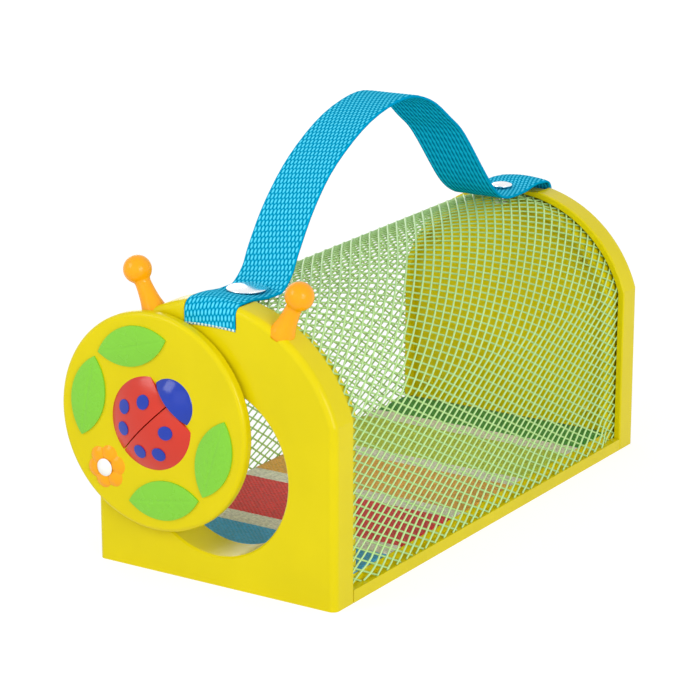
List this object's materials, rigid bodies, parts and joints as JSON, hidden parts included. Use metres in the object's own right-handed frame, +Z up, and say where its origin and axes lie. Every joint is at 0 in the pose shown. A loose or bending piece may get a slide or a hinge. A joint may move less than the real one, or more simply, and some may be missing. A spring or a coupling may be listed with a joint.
{
  "type": "bug house",
  "caption": "Arched net cage for keeping insects, with moulded end panels, a swinging round door, ball-ended pegs and a webbing carry handle.",
  "frame": {"origin": "middle of the base's underside, on the ground", "axes": "+X to the right seen from the door, +Y from the door to the rear along the length, +Z up"},
  "size_m": [0.133, 0.2752, 0.1859],
  "materials": {
    "yellow_plastic": "satin moulded yellow",
    "orange_plastic": "satin moulded orange",
    "green_plastic": "glossy green",
    "red_plastic": "glossy red",
    "blue_plastic": "glossy blue",
    "white_plastic": "glossy white",
    "green_net": "pale green extruded net",
    "blue_webbing": "ribbed woven webbing",
    "striped_canvas": "printed striped canvas",
    "rivet_metal": "polished nickel",
    "yellow_enamel": "yellow lacquered screws",
    "screw_steel": "zinc plated"
  },
  "bodies": {
    "house": {"front_panel": "yellow_plastic", "front_frame": "yellow_plastic", "rear_panel": "yellow_plastic", "rear_frame": "yellow_plastic", "base_tray": "yellow_plastic", "floor_mat": "striped_canvas", "net_screen": "green_net", "carry_strap": "blue_webbing", "front_rivet": "rivet_metal", "rear_rivet": "rivet_metal", "rivet_washers": "screw_steel", "left_peg": "orange_plastic", "right_peg": "orange_plastic", "front_screws": "yellow_enamel", "rear_screws": "yellow_enamel", "base_screws": "screw_steel"},
    "door": {"door_disc": "yellow_plastic", "door_washer": "screw_steel", "door_screw": "screw_steel", "leaf_wreath": "green_plastic", "beetle_wing_left": "red_plastic", "beetle_wing_right": "red_plastic", "beetle_head": "blue_plastic", "beetle_spots": "blue_plastic", "blossom_petals": "orange_plastic", "blossom_centre": "white_plastic"}
  },
  "joints": [
    {"name": "door_swing", "type": "hinge", "parent": "house", "child": "door", "pos_m": [0, -0.132, 0.0926], "axis": [0, 1, 0], "range_deg": [-46, 74]}
  ]
}
